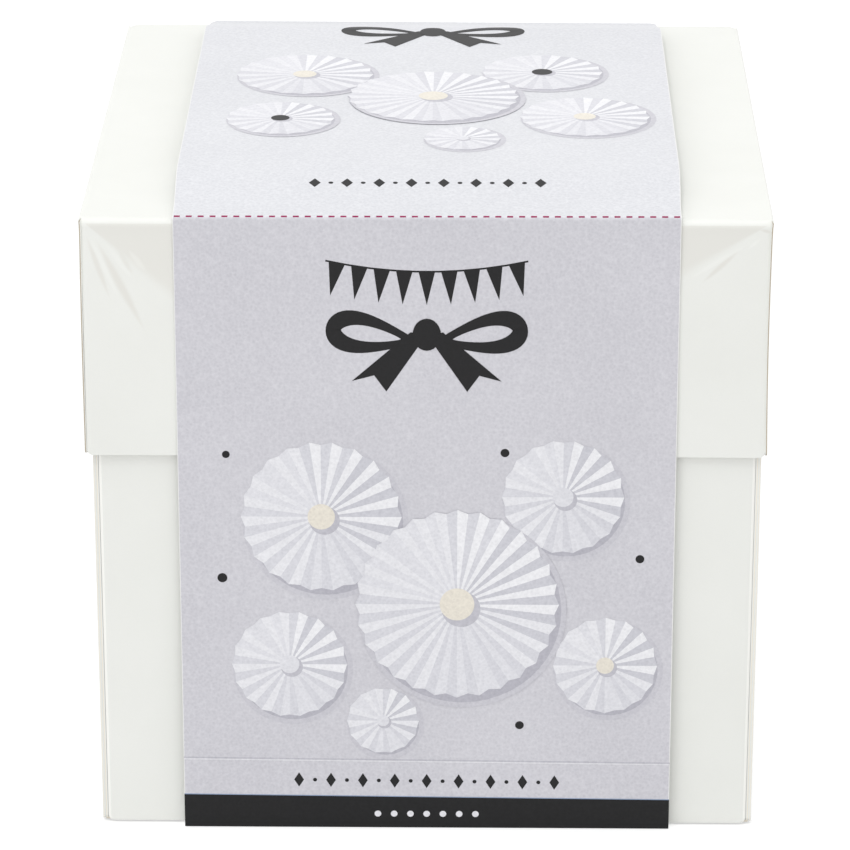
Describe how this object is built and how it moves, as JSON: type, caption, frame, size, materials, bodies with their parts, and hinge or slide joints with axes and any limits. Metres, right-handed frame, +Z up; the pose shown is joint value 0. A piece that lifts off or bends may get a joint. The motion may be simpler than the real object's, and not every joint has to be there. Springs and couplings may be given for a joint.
{
  "type": "explosion box",
  "caption": "Square card gift box with a deep lid and a paper band; its walls, with pockets, pull-out cards and corner hearts, fall open round a small lidded box",
  "frame": {"origin": "centre of the footprint on the table, at the underside of the paper band", "axes": "+X to the box's right as seen from the front, +Y to the back, +Z up; the printed band runs over the box from front to back"},
  "size_m": [0.122, 0.1228, 0.1186],
  "materials": {
    "box_card": "smooth uncoated card",
    "lid_card": "smooth uncoated card",
    "heart_card": "smooth uncoated card",
    "gift_card": "smooth uncoated card",
    "insert_card": "smooth uncoated card",
    "band_paper": "printed, faintly satin"
  },
  "bodies": {
    "base": {"base_panel": "box_card", "gift_box": "gift_card"},
    "lid": {"lid": "lid_card"},
    "gift_lid": {"gift_lid": "gift_card"},
    "band_bottom": {"band_bottom": "band_paper"},
    "band_front": {"band_front": "band_paper"},
    "band_back": {"band_back": "band_paper"},
    "band_top": {"band_top": "band_paper"},
    "wall_front": {"wall_front": "box_card", "pocket_front_1": "box_card", "pocket_front_2": "box_card", "pocket_front_3": "box_card"},
    "heart_front_glued": {"heart_front_glued": "heart_card"},
    "heart_front_free": {"heart_front_free": "heart_card"},
    "card_front_1": {"card_front_1": "insert_card"},
    "card_front_2": {"card_front_2": "insert_card"},
    "card_front_3": {"card_front_3": "insert_card"},
    "wall_right": {"wall_right": "box_card", "pocket_right_1": "box_card", "pocket_right_2": "box_card", "pocket_right_3": "box_card"},
    "heart_right_glued": {"heart_right_glued": "heart_card"},
    "heart_right_free": {"heart_right_free": "heart_card"},
    "card_right_1": {"card_right_1": "insert_card"},
    "card_right_2": {"card_right_2": "insert_card"},
    "card_right_3": {"card_right_3": "insert_card"},
    "wall_back": {"wall_back": "box_card", "pocket_back_1": "box_card", "pocket_back_2": "box_card", "pocket_back_3": "box_card"},
    "heart_back_glued": {"heart_back_glued": "heart_card"},
    "heart_back_free": {"heart_back_free": "heart_card"},
    "card_back_1": {"card_back_1": "insert_card"},
    "card_back_2": {"card_back_2": "insert_card"},
    "card_back_3": {"card_back_3": "insert_card"},
    "wall_left": {"wall_left": "box_card", "pocket_left_1": "box_card", "pocket_left_2": "box_card", "pocket_left_3": "box_card"},
    "heart_left_glued": {"heart_left_glued": "heart_card"},
    "heart_left_free": {"heart_left_free": "heart_card"},
    "card_left_1": {"card_left_1": "insert_card"},
    "card_left_2": {"card_left_2": "insert_card"},
    "card_left_3": {"card_left_3": "insert_card"}
  },
  "joints": [
    {"name": "lid_lift", "type": "slide", "parent": "base", "child": "lid", "axis": [0, 0, 1], "range_m": [0, 0.5]},
    {"name": "sleeve_slide", "type": "slide", "parent": "base", "child": "band_bottom", "axis": [1, 0, 0], "range_m": [-0.115, 0.115]},
    {"name": "gift_lid_lift", "type": "slide", "parent": "base", "child": "gift_lid", "axis": [0, 0, 1], "range_m": [0, 0.038]},
    {"name": "band_top_slide", "type": "slide", "parent": "lid", "child": "band_top", "axis": [1, 0, 0], "range_m": [-0.115, 0.115]},
    {"name": "band_front_fold", "type": "hinge", "parent": "band_bottom", "child": "band_front", "pos_m": [0, -0.06125, 0.00015], "axis": [1, 0, 0], "range_deg": [0, 90]},
    {"name": "band_back_fold", "type": "hinge", "parent": "band_bottom", "child": "band_back", "pos_m": [0, 0.06125, 0.00015], "axis": [-1, 0, 0], "range_deg": [0, 90]},
    {"name": "wall_front_fold", "type": "hinge", "parent": "base", "child": "wall_front", "pos_m": [0, -0.0598, 0.0006], "axis": [1, 0, 0], "range_deg": [0, 90]},
    {"name": "heart_front_edge_fold", "type": "hinge", "parent": "wall_front", "child": "heart_front_glued", "pos_m": [-0.0552, -0.05652, 0.01], "axis": [0, 0, 1], "range_deg": [0, 180]},
    {"name": "heart_front_crease_fold", "type": "hinge", "parent": "heart_front_glued", "child": "heart_front_free", "pos_m": [-0.0552, -0.05597, -0.004], "axis": [-0.7071, 0, -0.7071], "range_deg": [0, 180]},
    {"name": "card_front_1_pull", "type": "slide", "parent": "wall_front", "child": "card_front_1", "axis": [0, 0, 1], "range_m": [0, 0.05]},
    {"name": "card_front_2_pull", "type": "slide", "parent": "wall_front", "child": "card_front_2", "axis": [0, 0, 1], "range_m": [0, 0.036]},
    {"name": "card_front_3_pull", "type": "slide", "parent": "wall_front", "child": "card_front_3", "axis": [0, 0, 1], "range_m": [0, 0.022]},
    {"name": "wall_right_fold", "type": "hinge", "parent": "base", "child": "wall_right", "pos_m": [0.0598, 0, 0.0006], "axis": [0, 1, 0], "range_deg": [0, 90]},
    {"name": "heart_right_edge_fold", "type": "hinge", "parent": "wall_right", "child": "heart_right_glued", "pos_m": [0.05652, -0.0552, 0.01], "axis": [0, 0, 1], "range_deg": [0, 180]},
    {"name": "heart_right_crease_fold", "type": "hinge", "parent": "heart_right_glued", "child": "heart_right_free", "pos_m": [0.05597, -0.0552, -0.004], "axis": [0, -0.7071, -0.7071], "range_deg": [0, 180]},
    {"name": "card_right_1_pull", "type": "slide", "parent": "wall_right", "child": "card_right_1", "axis": [0, 0, 1], "range_m": [0, 0.05]},
    {"name": "card_right_2_pull", "type": "slide", "parent": "wall_right", "child": "card_right_2", "axis": [0, 0, 1], "range_m": [0, 0.036]},
    {"name": "card_right_3_pull", "type": "slide", "parent": "wall_right", "child": "card_right_3", "axis": [0, 0, 1], "range_m": [0, 0.022]},
    {"name": "wall_back_fold", "type": "hinge", "parent": "base", "child": "wall_back", "pos_m": [0, 0.0598, 0.0006], "axis": [-1, 0, 0], "range_deg": [0, 90]},
    {"name": "heart_back_edge_fold", "type": "hinge", "parent": "wall_back", "child": "heart_back_glued", "pos_m": [0.0552, 0.05652, 0.01], "axis": [0, 0, 1], "range_deg": [0, 180]},
    {"name": "heart_back_crease_fold", "type": "hinge", "parent": "heart_back_glued", "child": "heart_back_free", "pos_m": [0.0552, 0.05597, -0.004], "axis": [0.7071, 0, -0.7071], "range_deg": [0, 180]},
    {"name": "card_back_1_pull", "type": "slide", "parent": "wall_back", "child": "card_back_1", "axis": [0, 0, 1], "range_m": [0, 0.05]},
    {"name": "card_back_2_pull", "type": "slide", "parent": "wall_back", "child": "card_back_2", "axis": [0, 0, 1], "range_m": [0, 0.036]},
    {"name": "card_back_3_pull", "type": "slide", "parent": "wall_back", "child": "card_back_3", "axis": [0, 0, 1], "range_m": [0, 0.022]},
    {"name": "wall_left_fold", "type": "hinge", "parent": "base", "child": "wall_left", "pos_m": [-0.0598, 0, 0.0006], "axis": [0, -1, 0], "range_deg": [0, 90]},
    {"name": "heart_left_edge_fold", "type": "hinge", "parent": "wall_left", "child": "heart_left_glued", "pos_m": [-0.05652, 0.0552, 0.01], "axis": [0, 0, 1], "range_deg": [0, 180]},
    {"name": "heart_left_crease_fold", "type": "hinge", "parent": "heart_left_glued", "child": "heart_left_free", "pos_m": [-0.05597, 0.0552, -0.004], "axis": [0, 0.7071, -0.7071], "range_deg": [0, 180]},
    {"name": "card_left_1_pull", "type": "slide", "parent": "wall_left", "child": "card_left_1", "axis": [0, 0, 1], "range_m": [0, 0.05]},
    {"name": "card_left_2_pull", "type": "slide", "parent": "wall_left", "child": "card_left_2", "axis": [0, 0, 1], "range_m": [0, 0.036]},
    {"name": "card_left_3_pull", "type": "slide", "parent": "wall_left", "child": "card_left_3", "axis": [0, 0, 1], "range_m": [0, 0.022]}
  ],
  "couplings": [
    {"joint": "band_top_slide", "follows": "sleeve_slide", "ratio": 1},
    {"joint": "band_front_fold", "follows": "lid_lift", "rad_per_m": 3.1416},
    {"joint": "band_back_fold", "follows": "lid_lift", "rad_per_m": 3.1416},
    {"joint": "wall_front_fold", "follows": "lid_lift", "rad_per_m": 3.1416},
    {"joint": "heart_front_edge_fold", "follows": "lid_lift", "rad_per_m": 6.2832},
    {"joint": "heart_front_crease_fold", "follows": "lid_lift", "rad_per_m": 6.2832},
    {"joint": "card_front_1_pull", "follows": "lid_lift", "ratio": 0.1},
    {"joint": "card_front_2_pull", "follows": "lid_lift", "ratio": 0.072},
    {"joint": "card_front_3_pull", "follows": "lid_lift", "ratio": 0.044},
    {"joint": "wall_right_fold", "follows": "lid_lift", "rad_per_m": 3.1416},
    {"joint": "heart_right_edge_fold", "follows": "lid_lift", "rad_per_m": 6.2832},
    {"joint": "heart_right_crease_fold", "follows": "lid_lift", "rad_per_m": 6.2832},
    {"joint": "card_right_1_pull", "follows": "lid_lift", "ratio": 0.1},
    {"joint": "card_right_2_pull", "follows": "lid_lift", "ratio": 0.072},
    {"joint": "card_right_3_pull", "follows": "lid_lift", "ratio": 0.044},
    {"joint": "wall_back_fold", "follows": "lid_lift", "rad_per_m": 3.1416},
    {"joint": "heart_back_edge_fold", "follows": "lid_lift", "rad_per_m": 6.2832},
    {"joint": "heart_back_crease_fold", "follows": "lid_lift", "rad_per_m": 6.2832},
    {"joint": "card_back_1_pull", "follows": "lid_lift", "ratio": 0.1},
    {"joint": "card_back_2_pull", "follows": "lid_lift", "ratio": 0.072},
    {"joint": "card_back_3_pull", "follows": "lid_lift", "ratio": 0.044},
    {"joint": "wall_left_fold", "follows": "lid_lift", "rad_per_m": 3.1416},
    {"joint": "heart_left_edge_fold", "follows": "lid_lift", "rad_per_m": 6.2832},
    {"joint": "heart_left_crease_fold", "follows": "lid_lift", "rad_per_m": 6.2832},
    {"joint": "card_left_1_pull", "follows": "lid_lift", "ratio": 0.1},
    {"joint": "card_left_2_pull", "follows": "lid_lift", "ratio": 0.072},
    {"joint": "card_left_3_pull", "follows": "lid_lift", "ratio": 0.044}
  ]
}
